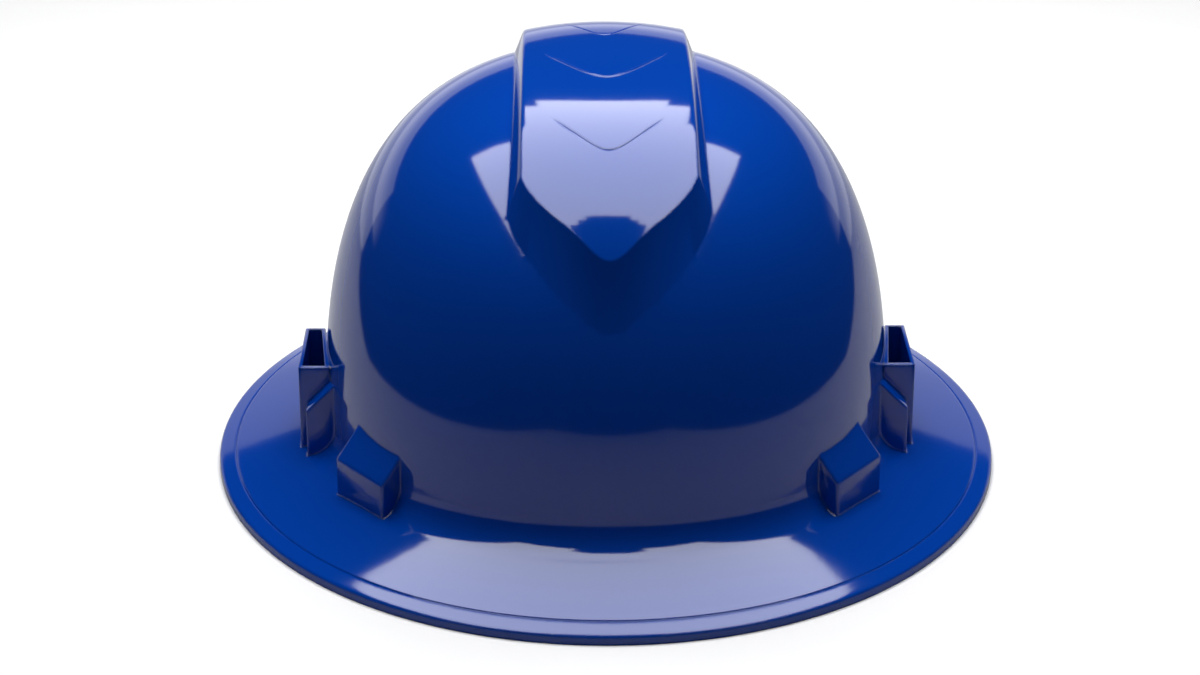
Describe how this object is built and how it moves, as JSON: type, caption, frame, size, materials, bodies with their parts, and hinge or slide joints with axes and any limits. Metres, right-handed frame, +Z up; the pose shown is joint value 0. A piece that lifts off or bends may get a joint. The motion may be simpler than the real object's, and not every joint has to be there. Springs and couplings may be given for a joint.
{
  "type": "full brim hard hat",
  "caption": "Full brim hard hat: glossy shell with a raised crown band, four point webbing suspension, headband and a rear ratchet with a turning knob.",
  "frame": {"origin": "middle of the rim's outline on the table plane that the rim rests on", "axes": "+Z up through the crown, -Y towards the hat's front, +X towards the right of someone who faces the hat. Left and right in names are read from there, as in the picture"},
  "size_m": [0.29, 0.326, 0.1538],
  "materials": {
    "shell_plastic": "high gloss moulded",
    "suspension_plastic": "fine moulded grain",
    "gear_plastic": "natural moulded",
    "knob_plastic": "fine moulded grain",
    "rivet_plastic": "smooth",
    "webbing": "plain woven",
    "pad_fabric": "brushed knit over foam",
    "screw_steel": "zinc plated"
  },
  "bodies": {
    "hat": {"shell": "shell_plastic", "front_left_key": "suspension_plastic", "front_right_key": "suspension_plastic", "rear_left_key": "suspension_plastic", "rear_right_key": "suspension_plastic", "crown_strap_lower": "webbing", "crown_strap_upper": "webbing", "crown_pad": "pad_fabric", "headband": "suspension_plastic", "brow_pad": "pad_fabric", "hanger_rivets": "rivet_plastic", "temple_rivets": "rivet_plastic"},
    "ratchet": {"ratchet_housing": "suspension_plastic", "ratchet_cover": "suspension_plastic", "cover_screws": "screw_steel", "detent_spring": "gear_plastic", "nape_pad": "pad_fabric"},
    "knob": {"adjuster_knob": "knob_plastic", "drive_gear": "gear_plastic", "knob_screw": "screw_steel"},
    "left_strap": {"left_nape_strap": "suspension_plastic"},
    "right_strap": {"right_nape_strap": "suspension_plastic"}
  },
  "joints": [
    {"name": "knob_turn", "type": "hinge", "parent": "ratchet", "child": "knob", "pos_m": [0, 0.1, 0.02], "axis": [0, -1, 0], "range_deg": [0, 387]},
    {"name": "ratchet_slide", "type": "slide", "parent": "hat", "child": "ratchet", "axis": [0, -1, 0], "range_m": [0, 0.0127]},
    {"name": "left_strap_slide", "type": "slide", "parent": "hat", "child": "left_strap", "axis": [0.9119, -0.4104, 0], "range_m": [0, 0.0308], "deforming": ["left_nape_strap"]},
    {"name": "right_strap_slide", "type": "slide", "parent": "hat", "child": "right_strap", "axis": [-0.9119, -0.4104, 0], "range_m": [0, 0.0308], "deforming": ["right_nape_strap"]}
  ],
  "couplings": [
    {"joint": "ratchet_slide", "follows": "knob_turn", "m_per_rad": 0.0018621},
    {"joint": "left_strap_slide", "follows": "knob_turn", "m_per_rad": 0.0045377},
    {"joint": "right_strap_slide", "follows": "knob_turn", "m_per_rad": 0.0045377}
  ]
}
